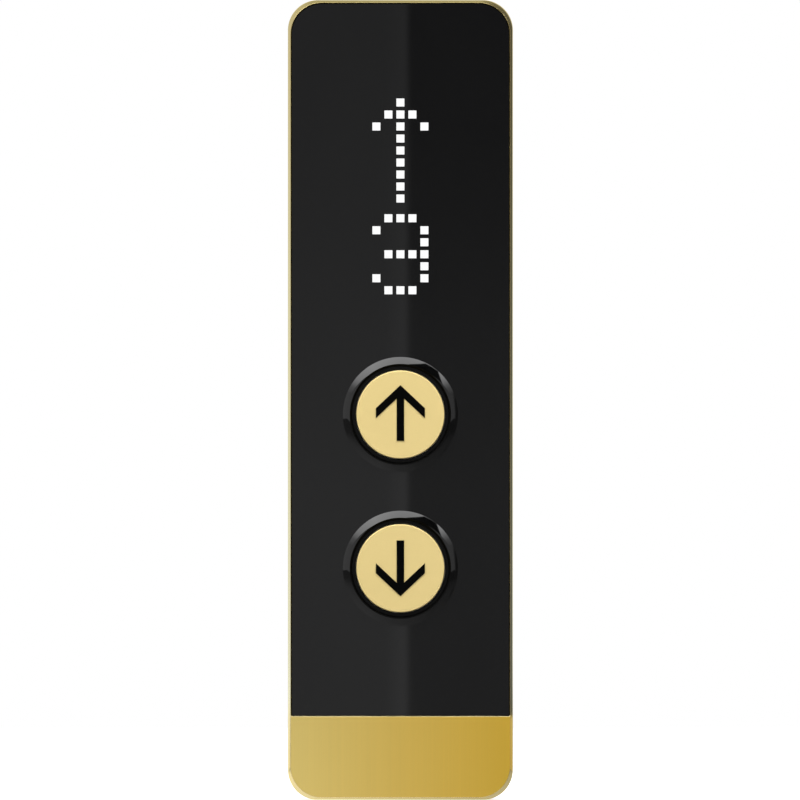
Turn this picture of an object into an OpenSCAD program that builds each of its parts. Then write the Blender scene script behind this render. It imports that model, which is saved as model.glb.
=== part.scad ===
// Elevator call button panel: a surface-mounted landing station with an up and a down button
// and a position display behind a glossy face. The wall plane is y = 0 and the front faces -Y.
// Every piece is drawn lying on the wall, x to the right, y up, z out of the wall, and then stood up.

/* [Casing] */
// Width of the panel
panel_w = 90; // [80:1:110]
// Height of the panel
panel_h = 320; // [310:1:360]
// Depth from the wall to the front edge of the casing
panel_d = 24; // [23:0.5:32]
// Radius of the casing's corners, seen from the front
corner_r = 12; // [10:0.5:16]
// Width of the gold rim that shows round the face
rim_w = 1.2; // [1:0.1:2.2]
// Radius of the face's corners inside the rim
face_corner_r = 12.4; // [10:0.2:16]
// Bevel on the front edge of the rim
rim_bevel = 1; // [0.4:0.1:1]
// Gap between the wall and the back edge of the casing
wall_gap = 0.4; // [0.2:0.1:1]
// Width of the ledge that the carrier plate rests on
ledge_w = 3; // [2:0.5:5]
// Thickness of the ledge
ledge_t = 1.6; // [1.2:0.2:2.4]
// Radius of the screw lugs on the ledge
lug_r = 4; // [3.4:0.2:5]
// Distance from the inside of the rim to a lug's screw
lug_inset = 4.2; // [3.8:0.2:6]
// Distance between the rows of lugs
lug_pitch = 122; // [100:1:124]

/* [Face] */
// Thickness of the face plate
face_t = 3; // [2:0.2:4]
// Depth of the face below the front edge of the rim
face_drop = 0.2; // [0:0.1:0.6]
// Gap round the face plate
face_gap = 0.15; // [0.1:0.05:0.3]
// Polished bevel on the edges of the face plate
face_bevel = 0.3; // [0.2:0.1:0.6]
// Thickness of the bonding tape
tape_t = 0.5; // [0.3:0.1:1]
// Distance from the face plate's edge to the tape's edge
tape_inset = 1.5; // [1:0.5:4]
// Thickness of the carrier plate
carrier_t = 1.5; // [1.2:0.1:2.4]

/* [Bottom trim] */
// Distance from the foot of the panel to the top edge of the trim
trim_top = 33.8; // [30:0.2:36]
// Gap round the trim
trim_gap = 0.1; // [0.05:0.05:0.3]
// Bevel on the trim's top edge
trim_bevel = 0.5; // [0.3:0.1:0.9]
// Bevel on the trim's edges along the rim
trim_side_bevel = 0.2; // [0.1:0.05:0.4]
// Thickness of the trim's front skin
trim_skin = 1.1; // [0.9:0.1:1.4]
// Width of the wall round the trim's hollow back
trim_wall = 3; // [2:0.5:5]
// Diameter of the two studs on the trim's back
stud_d = 4; // [3:0.2:5]
// Distance between the studs
stud_span = 56; // [40:1:60]
// Length of a stud behind the carrier plate
stud_past = 3; // [2.4:0.2:5]
// Wall of a trim clip
clip_wall = 1.1; // [0.8:0.1:1.5]
// Thickness of a trim clip's flanges
clip_flange_t = 0.8; // [0.6:0.1:1.2]
// Width of a trim clip's flanges
clip_flange_w = 1; // [0.6:0.1:1.6]

/* [Back plate] */
// Thickness of the back plate
plate_t = 1.5; // [1:0.1:2]
// Gap between the back plate and the casing's walls
plate_gap = 0.8; // [0.4:0.1:1.6]
// Diameter of the wall screw holes
wall_hole_d = 4.5; // [4:0.1:6]
// Distance across between the wall screw holes
wall_hole_w = 60; // [50:1:64]
// Distance up between the wall screw holes
wall_hole_h = 240; // [200:1:250]
// Length of the rail inside the casing's top wall
rail_len = 62; // [56:1:66]
// Depth of the rail below the top wall
rail_h = 4; // [3:0.5:6]
// Thickness of the rail
rail_t = 2; // [1.6:0.2:3]
// Gap between back plate and rail
rail_back = 0.9; // [0.6:0.1:1.6]
// Width of a hook on the back plate
hook_w = 14; // [10:1:18]
// Distance between the middles of the two hooks
hook_span = 44; // [36:1:46]
// Length of a hook's upturned lip past the rail's lower edge
hook_lip = 2.5; // [1.6:0.1:2.8]
// Clearance between a hook and the rail
hook_gap = 0.25; // [0.1:0.05:0.4]
// Length of the stiffening beads pressed into the back plate
bead_len = 96; // [60:1:110]
// Width of a stiffening bead
bead_w = 6; // [4:0.5:8]
// Distance between the two beads
bead_span = 40; // [30:1:46]
// Height of a bead above the sheet
bead_h = 2; // [1:0.1:2.4]
// Distance from the middle of the panel down to the middle of the beads
bead_drop = 10; // [0:1:14]

/* [Cable entry] */
// Diameter of the grommet's bore
entry_d = 14; // [8:0.5:16]
// Wall of the grommet's neck
grommet_wall = 2; // [1.5:0.1:3]
// Width of the grommet's flanges outside the neck
grommet_flange = 2; // [1.5:0.1:3]
// Thickness of each grommet flange
grommet_flange_t = 1.5; // [1:0.1:1.8]
// Depth of the dish round the entry
dish_depth = 2; // [1.8:0.1:3]
// Width of the dish floor round the grommet's flange
dish_floor = 2.5; // [1.5:0.1:4]
// Width of the dish's sloping wall
dish_slope = 2; // [1.5:0.1:4]
// Distance from the foot of the panel to the middle of the cable entry
entry_up = 50; // [46:0.5:52]

/* [Fixing screw] */
// Distance from the foot of the panel to the fixing screw
fixing_up = 17; // [14:0.5:20]
// Diameter of the fixing screw
fixing_d = 4; // [3:0.2:4.4]
// Diameter of the fixing screw's head
fixing_head_d = 7.2; // [6:0.2:8]
// Height of the fixing screw's head
fixing_head_h = 2; // [1.4:0.1:2.2]
// Length of the fixing screw below its head
fixing_len = 10; // [6:0.5:14]
// Width of the hexagonal fixing pillar across its corners
pillar_d = 9.2; // [8:0.2:11]
// Diameter of the pillar's riveted foot
pillar_foot_d = 6; // [5:0.2:7]
// Gap between the pillar's foot and the wall
pillar_sink = 0.3; // [0.1:0.1:0.6]

/* [Buttons] */
// Distance from the top of the panel to the middle of the up button
button_drop = 165.8; // [164:0.1:170]
// Distance between the two buttons
button_pitch = 61.5; // [56:0.5:64]
// Travel of a button
travel = 1.5; // [0.8:0.1:1.8]
// Diameter of a button cap
cap_d = 35.2; // [30:0.2:38]
// Thickness of a cap's disc
cap_t = 1.2; // [1:0.1:1.6]
// Bevel round a cap's front edge
cap_bevel = 0.3; // [0.2:0.1:0.5]
// Height of a cap above its collar's crest
cap_proud = 0.6; // [0.2:0.1:1]
// Depth of a cap from its front to the end of its skirt
cap_depth = 4; // [3:0.2:4.4]
// Wall of a cap's skirt
skirt_t = 1; // [0.8:0.1:1.4]
// Gap between cap and light ring
cap_gap = 0.4; // [0.3:0.05:0.6]
// Width of the light ring that shows
ring_show = 1.4; // [1:0.1:2]
// Depth of the light ring below the collar's crest
ring_sink = 1.4; // [1.2:0.1:1.8]
// Step behind the collar's lip that stops the light ring
lip_step = 0.5; // [0.4:0.1:0.8]
// Depth of the lip below the face
lip_depth = 0.6; // [0.3:0.1:1]
// Height of a collar's crest above the face
collar_h = 2; // [1.4:0.1:3]
// Height of a collar's outer edge
collar_edge = 0.4; // [0.2:0.1:0.8]
// Bulge of a collar's sloping front
collar_bow = 0.2; // [0:0.05:0.3]
// Width of a collar's flange outside its barrel
collar_flange = 1.8; // [1.4:0.1:3]
// Width of a collar's inner bevel
collar_inner = 0.8; // [0.5:0.1:0.9]
// Width of a collar's crest
collar_crest = 0.3; // [0.2:0.1:0.5]
// Wall of a collar's barrel
barrel_wall = 1.2; // [1:0.1:1.6]
// Clearance between barrel and panel holes
hole_gap = 0.2; // [0.1:0.05:0.4]
// Thickness of a ring nut
nut_t = 3.5; // [2.4:0.1:4]
// Width of a ring nut's wall
nut_wall = 3.7; // [3:0.1:4.4]
// Number of spanner notches in a ring nut
nut_notches = 8; // [4:1:12]
// Width of a spanner notch
notch_w = 4; // [3:0.2:5]
// Depth of a spanner notch
notch_depth = 1.6; // [1:0.1:2]

/* [Button arrows] */
// Height of an arrow
arrow_h = 22.3; // [18:0.1:24]
// Half width of an arrow's head
arrow_half_w = 9.8; // [7:0.1:11]
// Width of an arrow's shaft
arrow_stroke = 3; // [2:0.1:3.6]
// Upright thickness of an arrow's head
arrow_head_t = 4; // [3:0.1:5]
// Slope of an arrow's head, rise over run
arrow_slope = 0.94; // [0.7:0.02:1.2]
// Height of the up arrow's middle above the middle of its cap
up_arrow_shift = 0.6; // [0:0.1:1]
// Depth of the pocket that holds an arrow
arrow_pocket = 0.6; // [0.4:0.1:0.8]
// Height of an arrow above its cap
arrow_proud = 0.3; // [0.1:0.1:0.8]

/* [Button works] */
// Thickness of the plunger's head
head_t = 2; // [1.4:0.1:2.4]
// Length of the plunger from its head to its flange's back
plunger_len = 6; // [5.6:0.1:7]
// Thickness of the plunger's flange
flange_t = 1.6; // [1.2:0.1:1.8]
// Width of the plunger's flange that the light ring holds back
flange_catch = 0.8; // [0.6:0.1:1]
// Wall of the plunger's body
plunger_wall = 2; // [1.4:0.1:3]
// Diameter of the plunger's stem
stem_d = 6; // [4:0.2:7]
// Reach of the plunger's snap lugs into the cap's skirt
snap_reach = 0.7; // [0.4:0.05:0.8]
// Height of a snap lug
snap_h = 1; // [0.6:0.1:1.2]
// Gap between sliding pieces
slide_gap = 0.3; // [0.2:0.05:0.4]
// Clearance between pieces that are pushed together
fit_gap = 0.1; // [0.05:0.01:0.15]
// Width of the light ring's guide key
key_w = 2; // [1.6:0.1:3]
// Mean diameter of the return spring
spring_d = 14; // [13:0.2:18]
// Diameter of the spring's wire
wire_d = 0.8; // [0.5:0.1:1]
// Number of turns in the spring
spring_turns = 4.5; // [3:0.5:6]
// Thickness of the base's floor
floor_t = 2; // [1.6:0.1:3]
// Height of the base's spigot inside the barrel
spigot_h = 1.8; // [1.6:0.1:1.9]
// Wall of the base's spigot
spigot_wall = 1.5; // [1:0.1:2]
// Reach of the base's snap barbs past the spigot
barb_reach = 0.8; // [0.4:0.1:0.9]
// Width of the switch
switch_w = 7; // [6:0.2:7.6]
// Height of the switch body
switch_h = 5; // [4.8:0.1:6]
// Diameter of the switch pin
pin_d = 3.2; // [2.4:0.1:3.6]
// Length of the switch pin that stands out of the switch
pin_show = 2.2; // [2:0.1:3]
// Length of the switch pin inside the switch
pin_inside = 2.6; // [2:0.1:2.8]
// Thickness of the circuit boards
board_t = 1.6; // [1:0.1:2]
// Diameter of a button's board
button_board_d = 38; // [34:0.5:40]
// Diameter of the lamps round the light ring
lamp_d = 3; // [2:0.1:3.2]
// Distance from a button's middle to its lamps
lamp_ring_r = 15.6; // [14.5:0.1:16]
// Diameter of the base screws
base_screw_d = 2; // [1.6:0.1:2.4]
// Distance between a base's two screws
base_screw_span = 25; // [24:0.5:26]
// Wall of the base's screw bosses
boss_wall = 1.4; // [1:0.1:1.6]
// Height of the base's screw bosses above its floor
boss_h = 2; // [1.4:0.1:2.4]
// Width of a lead socket
socket_w = 10; // [8:0.5:12]
// Height of a lead socket
socket_h = 6; // [5:0.5:7]
// Depth of a lead socket behind its board
socket_depth = 5; // [4:0.1:5.4]
// Wall of a lead socket
socket_wall = 0.8; // [0.6:0.1:1.2]
// Space between the display board's two lead sockets
socket_space = 3; // [1:0.5:5]

/* [Display] */
// Distance between the display's squares
dot_pitch = 4.8; // [4:0.1:5.2]
// Width of a square
dot_w = 3.2; // [2.6:0.1:3.8]
// Depth of a square's recess in its module
dot_depth = 0.8; // [0.5:0.1:1.5]
// Distance from the top of the panel to the first row of squares
display_drop = 41; // [38:0.2:44]
// Gap between the arrow module and the digit module
module_gap = 3.1; // [2:0.1:5]
// Depth of the display modules
module_d = 8; // [7:0.1:9]
// Clearance round the modules and behind the face
module_clear = 0.3; // [0.2:0.1:0.8]
// Width of the display board
board_w = 58; // [54:1:62]
// Height of the display board past the modules, at the top and at the foot
board_past = 6; // [5:0.5:8]
// Distance from the display board's edge to its screws
board_screw_in = 4; // [3.4:0.2:6]
// Diameter of the display pillars
post_d = 5; // [4:0.2:6]
// Diameter of the panel's small screws
screw_d = 2.5; // [2:0.1:3]
// Diameter of a small screw's head
screw_head_d = 4.8; // [4:0.1:5.6]
// Height of a small screw's head
screw_head_h = 1.8; // [1.2:0.1:2.2]
// Number of poles on the terminal block
terminal_poles = 5; // [3:1:8]
// Distance between the poles
terminal_pitch = 5; // [3.5:0.1:5.2]
// Depth of the terminal block behind its board
terminal_d = 8; // [6:0.1:8.4]
// Height of the terminal block
terminal_h = 9; // [7:0.5:10]
// Distance from the display board's foot to the terminal block
terminal_in = 2; // [1:0.5:4]
// Width of the processor on the display board
chip_w = 10; // [7:0.5:12]
// Width of the two display drivers
driver_w = 5; // [4:0.5:7]
// Length of the two display drivers
driver_h = 16; // [10:0.5:18]
// Distance between the two display drivers
driver_span = 32; // [26:1:36]
// Thickness of the chips
chip_t = 1.4; // [0.8:0.1:2]
// Diameter of the sounder
sounder_d = 12; // [9:0.5:13]
// Height of the sounder
sounder_h = 6; // [4:0.5:7]

/* [Hidden] */
$fn = 96;

// Heights above the wall
face_z = panel_d - face_drop;
carrier_z = face_z - face_t - tape_t;
seat_z = carrier_z - carrier_t;
ledge_z = seat_z - ledge_t;
trim_z = panel_d;

// Outlines inside the rim
inner_w = panel_w - 2 * rim_w;
inner_h = panel_h - 2 * rim_w;
fit_w = inner_w - 2 * face_gap;
fit_h = inner_h - 2 * face_gap;
fit_r = face_corner_r - face_gap;
trim_w = inner_w - 2 * trim_gap;
trim_h = inner_h - 2 * trim_gap;
trim_r = face_corner_r - trim_gap;
trim_edge = trim_top - panel_h / 2;
rim_edge = min(rim_bevel, rim_w - fit_gap);
cut_past = 1;

// Casing ledge, lugs and rail
lug_x = inner_w / 2 - lug_inset;
lug_places = [for (sx = [-1, 1], k = [-1:1]) [sx * lug_x, k * lug_pitch]];
ledge_r = max(face_corner_r - ledge_w, 1);
rail_z = plate_t + rail_back;
rail_foot = inner_h / 2 - rail_h;

// Back plate
plate_w = inner_w - 2 * plate_gap;
plate_top = rail_foot - hook_gap;
plate_foot = -inner_h / 2 + plate_gap;
plate_r = face_corner_r - plate_gap;
entry_y = entry_up - panel_h / 2;
neck_r = entry_d / 2 + grommet_wall;
grommet_r = neck_r + grommet_flange;
dish_in_r = grommet_r + dish_floor;
dish_out_r = dish_in_r + dish_slope;
bead_y = -bead_drop;

// Fixing
fixing_y = fixing_up - panel_h / 2;

// Button radii, from the cap outwards
cap_r = cap_d / 2;
ring_in_r = cap_r + cap_gap;
ring_out_r = ring_in_r + ring_show;
lip_r = ring_out_r + fit_gap;
bore_r = lip_r + lip_step;
barrel_r = bore_r + barrel_wall;
button_hole_r = barrel_r + hole_gap;
collar_r = barrel_r + collar_flange;
crest_r = lip_r + collar_inner;
nut_in_r = barrel_r + fit_gap;
nut_out_r = nut_in_r + nut_wall;
head_r = cap_r - skirt_t - fit_gap;
flange_r = ring_in_r + flange_catch;
ring_bore_r = flange_r + slide_gap;
ring_back_r = bore_r - fit_gap;
spigot_r = bore_r - fit_gap;

// Button heights above the wall
crest_z = face_z + collar_h;
cap_z = crest_z + cap_proud;
head_z = cap_z - cap_t;
flange_back_z = head_z - plunger_len;
flange_front_z = flange_back_z + flange_t;
shoulder_z = flange_front_z + fit_gap;
ring_z = crest_z - ring_sink;
lip_back_z = face_z - lip_depth;
switch_z = flange_back_z - pin_show;
button_board_z = switch_z - switch_h;
floor_z = button_board_z + floor_t;
ring_back_z = floor_z + spigot_h + fit_gap;
up_y = panel_h / 2 - button_drop;
down_y = up_y - button_pitch;
collar_bow_steps = 6;
barb_angle = 20;
window_angle = 26;
snap_angle = 12;
snap_window_angle = 16;
snap_z = (head_z + cap_z - cap_depth) / 2;
boss_d = base_screw_d + 2 * boss_wall;

// Display
arrow_rows = ["..#..", ".###.", "#.#.#", "..#..", "..#..", "..#..", "..#..", "..#..", "..#.."];
digit_rows = [".###.", "#...#", "....#", ".####", "....#", "#...#", ".###."];
columns = len(arrow_rows[0]);
module_w = columns * dot_pitch;
arrow_module_h = len(arrow_rows) * dot_pitch;
digit_module_h = len(digit_rows) * dot_pitch;
arrow_top = panel_h / 2 - display_drop + dot_pitch / 2;
digit_top = arrow_top - arrow_module_h - module_gap;
display_foot = digit_top - digit_module_h;
display_y = (arrow_top + display_foot) / 2;
window_h = arrow_top - display_foot;
module_z = face_z - face_t - module_clear;
display_board_z = module_z - module_d;
board_h = window_h + 2 * board_past;
post_x = board_w / 2 - board_screw_in;
post_y = board_h / 2 - board_screw_in;
board_back_z = display_board_z - board_t;
terminal_y = display_y - board_h / 2 + terminal_h / 2 + terminal_in;
small_hole_d = screw_d + 2 * hole_gap;

gold = [0.78, 0.65, 0.33];
pale_gold = [0.9, 0.8, 0.53];
gloss_black = [0.06, 0.06, 0.07];
black = [0.1, 0.1, 0.1];
steel = [0.7, 0.71, 0.73];
nylon = [0.88, 0.87, 0.82];
smoke = [0.16, 0.16, 0.17];
board_green = [0.06, 0.3, 0.16];

// Helpers

// Stands a piece up: z out of the wall becomes -Y, y up becomes +Z
module stand() rotate([90, 0, 0]) children();

module at(x, y, z) translate([x, y, z]) children();

module rounded_rect(w, h, r) {
  square([w - 2 * r, h], center = true);
  square([w, h - 2 * r], center = true);
  for (sx = [-1, 1], sy = [-1, 1])
    translate([sx * (w / 2 - r), sy * (h / 2 - r)]) circle(r);
}

module rounded_block(w, h, r, z0, z1) at(0, 0, z0) linear_extrude(z1 - z0) rounded_rect(w, h, r);

// Carries a profile round a rounded rectangle: the profile's x runs outwards from the corners' centres
module along_outline(w, h, r) {
  for (k = [0:3])
    translate([(k % 3 == 0 ? 1 : -1) * (w / 2 - r), (k < 2 ? 1 : -1) * (h / 2 - r), 0])
      rotate([0, 0, 90 * k]) rotate_extrude(angle = 90) children();
  for (k = [0:3])
    rotate([0, 0, 90 * k])
      translate([(k % 2 == 0 ? w : h) / 2 - r, 0, 0])
        rotate([90, 0, 0]) linear_extrude((k % 2 == 0 ? h : w) - 2 * r, center = true) children();
}

// Cuts a bevel off the front edge of a rounded rectangle at height z
module bevel_cut(w, h, r, bevel, z) along_outline(w, h, r)
  polygon([[r - bevel, z], [r - bevel, z + cut_past], [r + cut_past, z + cut_past],
    [r + cut_past, z - bevel], [r, z - bevel]]);

module drill(x, y, d, z0, z1) at(x, y, z0 - cut_past) cylinder(d = d, h = z1 - z0 + 2 * cut_past);

module rod(d, z0, z1) at(0, 0, z0) cylinder(d = d, h = z1 - z0);

module box(w, h, z0, z1) at(-w / 2, -h / 2, z0) cube([w, h, z1 - z0]);

// A pan head screw pointing out of the wall, its head's seat at z, with a cross recess
module pan_screw(d, head_d, head_h, z, tip_z) {
  recess = 0.22 * head_d;
  difference() {
    rod(head_d, z - head_h, z);
    for (a = [0, 90])
      rotate([0, 0, a]) box(2 * recess, recess / 2, z - head_h - cut_past, z - head_h / 2);
  }
  rod(d, z, tip_z);
}

module small_screws(places, z, tip_z) for (p = places)
  at(p[0], p[1], 0) pan_screw(screw_d, screw_head_d, screw_head_h, z, tip_z);

// Casing

module casing_frame() color(gold) stand() {
  difference() {
    rounded_block(panel_w, panel_h, corner_r, wall_gap, panel_d);
    rounded_block(inner_w, inner_h, face_corner_r, wall_gap - cut_past, panel_d + cut_past);
    bevel_cut(panel_w, panel_h, corner_r, rim_edge, panel_d);
  }
  difference() {
    intersection() {
      union() {
        difference() {
          rounded_block(inner_w + rim_w, inner_h + rim_w, face_corner_r, ledge_z, seat_z);
          rounded_block(inner_w - 2 * ledge_w, inner_h - 2 * ledge_w, ledge_r,
            ledge_z - cut_past, seat_z + cut_past);
        }
        for (p = lug_places) at(p[0], p[1], 0) rod(2 * lug_r, ledge_z, seat_z);
      }
      rounded_block(inner_w + rim_w, inner_h + rim_w, corner_r, ledge_z, seat_z);
    }
    for (p = lug_places) drill(p[0], p[1], small_hole_d, ledge_z, seat_z);
  }
  at(-rail_len / 2, rail_foot, rail_z) cube([rail_len, rail_h + rim_w / 2, rail_t]);
}

module carrier_holes(z0, z1) {
  for (y = [up_y, down_y]) drill(0, y, 2 * button_hole_r, z0, z1);
  at(0, display_y, 0)
    box(module_w + 2 * module_clear, window_h + 2 * module_clear, z0 - cut_past, z1 + cut_past);
}

module carrier_plate() color(steel) stand() difference() {
  rounded_block(fit_w, fit_h, fit_r, seat_z, carrier_z);
  carrier_holes(seat_z, carrier_z);
  for (p = lug_places) drill(p[0], p[1], screw_d + fit_gap, seat_z, carrier_z);
  for (sx = [-1, 1])
    drill(sx * stud_span / 2, fixing_y, stud_d + 2 * clip_wall + 2 * fit_gap, seat_z, carrier_z);
  drill(0, fixing_y, fixing_d + 2 * hole_gap, seat_z, carrier_z);
}

module carrier_screws() color(steel) stand() small_screws(lug_places, ledge_z, carrier_z);

// Face

// Everything above the joint between face plate and trim
module above_trim(gap) at(-panel_w, trim_edge + gap / 2, 0)
  cube([2 * panel_w, panel_h, panel_d + cut_past]);

module face_tape() color(nylon) stand() difference() {
  intersection() {
    rounded_block(fit_w - 2 * tape_inset, fit_h - 2 * tape_inset, fit_r - tape_inset,
      carrier_z, face_z - face_t);
    above_trim(face_gap + 2 * tape_inset);
  }
  carrier_holes(carrier_z, face_z - face_t);
}

module face_plate() color(gloss_black) stand() difference() {
  intersection() {
    rounded_block(fit_w, fit_h, fit_r, face_z - face_t, face_z);
    above_trim(face_gap);
  }
  bevel_cut(fit_w, fit_h, fit_r, face_bevel, face_z);
  for (y = [up_y, down_y]) drill(0, y, 2 * button_hole_r, face_z - face_t, face_z);
}

// The trim's front skin and its edges, cut to a straight bevelled top edge
module trim_shape() {
  edge = trim_edge - face_gap / 2;
  difference() {
    rounded_block(trim_w, trim_h, trim_r, carrier_z, trim_z);
    bevel_cut(trim_w, trim_h, trim_r, trim_side_bevel, trim_z);
    at(-panel_w, edge, 0) cube([2 * panel_w, panel_h, trim_z + cut_past]);
    at(-panel_w, edge, trim_z - trim_bevel) rotate([45, 0, 0])
      cube([2 * panel_w, 2 * trim_bevel, 2 * trim_bevel]);
  }
}

module bottom_trim() color(gold) stand() {
  hollow_w = trim_w - 2 * trim_wall;
  hollow_foot = -trim_h / 2 + trim_wall;
  hollow_top = trim_edge - trim_wall;
  hollow_r = trim_r - trim_wall;
  difference() {
    trim_shape();
    intersection() {
      rounded_block(hollow_w, trim_h - 2 * trim_wall, hollow_r, carrier_z - cut_past, trim_z - trim_skin);
      at(-panel_w, hollow_foot, 0) cube([2 * panel_w, hollow_top - hollow_foot, panel_d]);
    }
  }
  for (sx = [-1, 1])
    at(sx * stud_span / 2, fixing_y, 0) rod(stud_d, seat_z - stud_past, trim_z - trim_skin);
}

module trim_clips() color(nylon) stand() for (sx = [-1, 1]) {
  in_r = stud_d / 2 + fit_gap / 2;
  neck = stud_d / 2 + clip_wall;
  wide = neck + clip_flange_w;
  at(sx * stud_span / 2, fixing_y, 0) rotate_extrude()
    polygon([[in_r, seat_z - 2 * clip_flange_t], [neck, seat_z - 2 * clip_flange_t],
      [wide, seat_z - clip_flange_t / 2], [wide, seat_z], [neck, seat_z], [neck, carrier_z],
      [wide, carrier_z], [wide, carrier_z + clip_flange_t], [in_r, carrier_z + clip_flange_t]]);
}

// Back plate

module hook() {
  lip_z = rail_z + rail_t + hook_gap;
  at(-hook_w / 2, plate_top - plate_t, 0) cube([hook_w, plate_t, lip_z + plate_t]);
  at(-hook_w / 2, plate_top - plate_t, lip_z) cube([hook_w, plate_t + hook_gap + hook_lip, plate_t]);
}

// A pressed stiffening bead: a raised bar with sloping flanks
module bead() at(0, -bead_len / 2, 0) rotate([-90, 0, 0]) linear_extrude(bead_len)
  polygon([[-bead_w / 2, -plate_t], [-bead_w / 4, -plate_t - bead_h], [bead_w / 4, -plate_t - bead_h],
    [bead_w / 2, -plate_t]]);

// The hollow that the bead leaves at the back of the sheet
module bead_groove() at(0, -bead_len / 2 + plate_t, 0) rotate([-90, 0, 0]) {
  half = bead_w / 2 - plate_t / 2;
  half_floor = bead_w / 4 - plate_t / 3;
  linear_extrude(bead_len - 2 * plate_t)
    polygon([[-half, cut_past], [-half, 0], [-half_floor, -bead_h], [half_floor, -bead_h], [half, 0],
      [half, cut_past]]);
}

module back_plate() color(steel) stand() {
  difference() {
    union() {
      intersection() {
        rounded_block(plate_w, -2 * plate_foot, plate_r, 0, plate_t);
        at(-panel_w, plate_foot - cut_past, 0)
          cube([2 * panel_w, plate_top - plate_foot + cut_past, plate_t]);
      }
      for (sx = [-1, 1]) at(sx * bead_span / 2, bead_y, 0) bead();
      for (sx = [-1, 1]) at(sx * hook_span / 2, 0, 0) hook();
    }
    for (sx = [-1, 1]) at(sx * bead_span / 2, bead_y, 0) bead_groove();
    drill(0, entry_y, 2 * dish_out_r, 0, plate_t);
    drill(0, fixing_y, pillar_foot_d + 2 * fit_gap, 0, plate_t);
    for (sx = [-1, 1], sy = [-1, 1])
      drill(sx * wall_hole_w / 2, sy * wall_hole_h / 2, wall_hole_d, 0, plate_t);
  }
  at(0, entry_y, 0) rotate_extrude()
    polygon([[neck_r + fit_gap, dish_depth], [dish_in_r, dish_depth], [dish_out_r - plate_t / 2, 0],
      [dish_out_r, 0], [dish_out_r, plate_t], [dish_in_r + plate_t / 2, dish_depth + plate_t],
      [neck_r + fit_gap, dish_depth + plate_t]]);
}

module cable_grommet() color(black) stand() at(0, entry_y, 0) {
  back = dish_depth - grommet_flange_t;
  seat = dish_depth + plate_t;
  front = seat + grommet_flange_t;
  rotate_extrude()
    polygon([[entry_d / 2, back], [grommet_r, back], [grommet_r, dish_depth], [neck_r, dish_depth],
      [neck_r, seat], [grommet_r, seat], [grommet_r, front - grommet_flange_t / 2],
      [grommet_r - grommet_flange_t / 2, front], [entry_d / 2, front]]);
}

module fixing_pillar() color(steel) stand() at(0, fixing_y, 0) difference() {
  union() {
    at(0, 0, plate_t) cylinder(d = pillar_d, h = seat_z - plate_t, $fn = 6);
    rod(pillar_foot_d, pillar_sink, plate_t);
  }
  rod(fixing_d + fit_gap, carrier_z - fixing_len - cut_past, seat_z + cut_past);
}

module fixing_screw() color(steel) stand() at(0, fixing_y, 0) {
  socket_d = 0.4 * fixing_head_d;
  difference() {
    rod(fixing_head_d, carrier_z, carrier_z + fixing_head_h);
    at(0, 0, carrier_z + fixing_head_h / 2) cylinder(d = socket_d, h = fixing_head_h, $fn = 6);
  }
  rod(fixing_d, carrier_z - fixing_len, carrier_z);
}

// Push buttons, each drawn round its own middle

module collar() color(black) difference() {
  slope_in = crest_r + collar_crest;
  slope = [for (k = [0:collar_bow_steps]) let (t = k / collar_bow_steps)
    [slope_in + t * (collar_r - slope_in),
      crest_z - t * (collar_h - collar_edge) + 4 * collar_bow * t * (1 - t)]];
  rotate_extrude()
    polygon(concat([[lip_r, lip_back_z], [lip_r, crest_z - collar_inner], [crest_r, crest_z]], slope,
      [[collar_r, face_z], [barrel_r, face_z], [barrel_r, floor_z], [bore_r, floor_z], [bore_r, lip_back_z]]));
  thirds(window_angle) translate([bore_r - fit_gap, floor_z + fit_gap])
    square([barrel_wall + cut_past, spigot_h - fit_gap]);
}

module ring_nut() color(nylon) difference() {
  rod(2 * nut_out_r, seat_z - nut_t, seat_z);
  rod(2 * nut_in_r, seat_z - nut_t - cut_past, seat_z + cut_past);
  for (k = [0:nut_notches - 1]) rotate([0, 0, 360 * k / nut_notches])
    at(nut_out_r, 0, 0) box(2 * notch_depth, notch_w, seat_z - nut_t - cut_past, seat_z + cut_past);
}

module light_ring() color(smoke) {
  rotate_extrude()
    polygon([[ring_in_r, shoulder_z], [ring_in_r, ring_z], [ring_out_r, ring_z],
      [ring_out_r, lip_back_z - fit_gap], [ring_back_r, lip_back_z - fit_gap], [ring_back_r, ring_back_z],
      [ring_bore_r, ring_back_z], [ring_bore_r, shoulder_z]]);
  intersection() {
    at(0, -ring_bore_r, 0) box(key_w, 2 * flange_catch, ring_back_z, shoulder_z);
    rod(2 * ring_back_r - fit_gap, ring_back_z, shoulder_z);
  }
}

// An arrow drawn round its middle, pointing up
module arrow_outline() {
  tip = arrow_h / 2;
  half = arrow_stroke / 2;
  head_drop = arrow_slope * arrow_half_w;
  under = tip - arrow_head_t;
  crotch = under - arrow_slope * half;
  polygon([[0, tip], [arrow_half_w, tip - head_drop], [arrow_half_w, under - head_drop], [half, crotch],
    [half, -tip], [-half, -tip], [-half, crotch], [-arrow_half_w, under - head_drop],
    [-arrow_half_w, tip - head_drop]]);
}

// Three turns of a part-round shape, each centred on its own third
module thirds(angle) for (k = [0:2]) rotate([0, 0, 120 * k - angle / 2])
  rotate_extrude(angle = angle) children();

// The profile of a snap lug on the plunger's head, or of the window for it in the cap's skirt
module snap_block(out_r, h) translate([head_r - fit_gap, snap_z - h / 2])
  square([out_r - head_r + fit_gap, h]);

module arrow_block(z1) at(0, 0, cap_z - arrow_pocket)
  linear_extrude(z1 - cap_z + arrow_pocket) arrow_outline();

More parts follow.
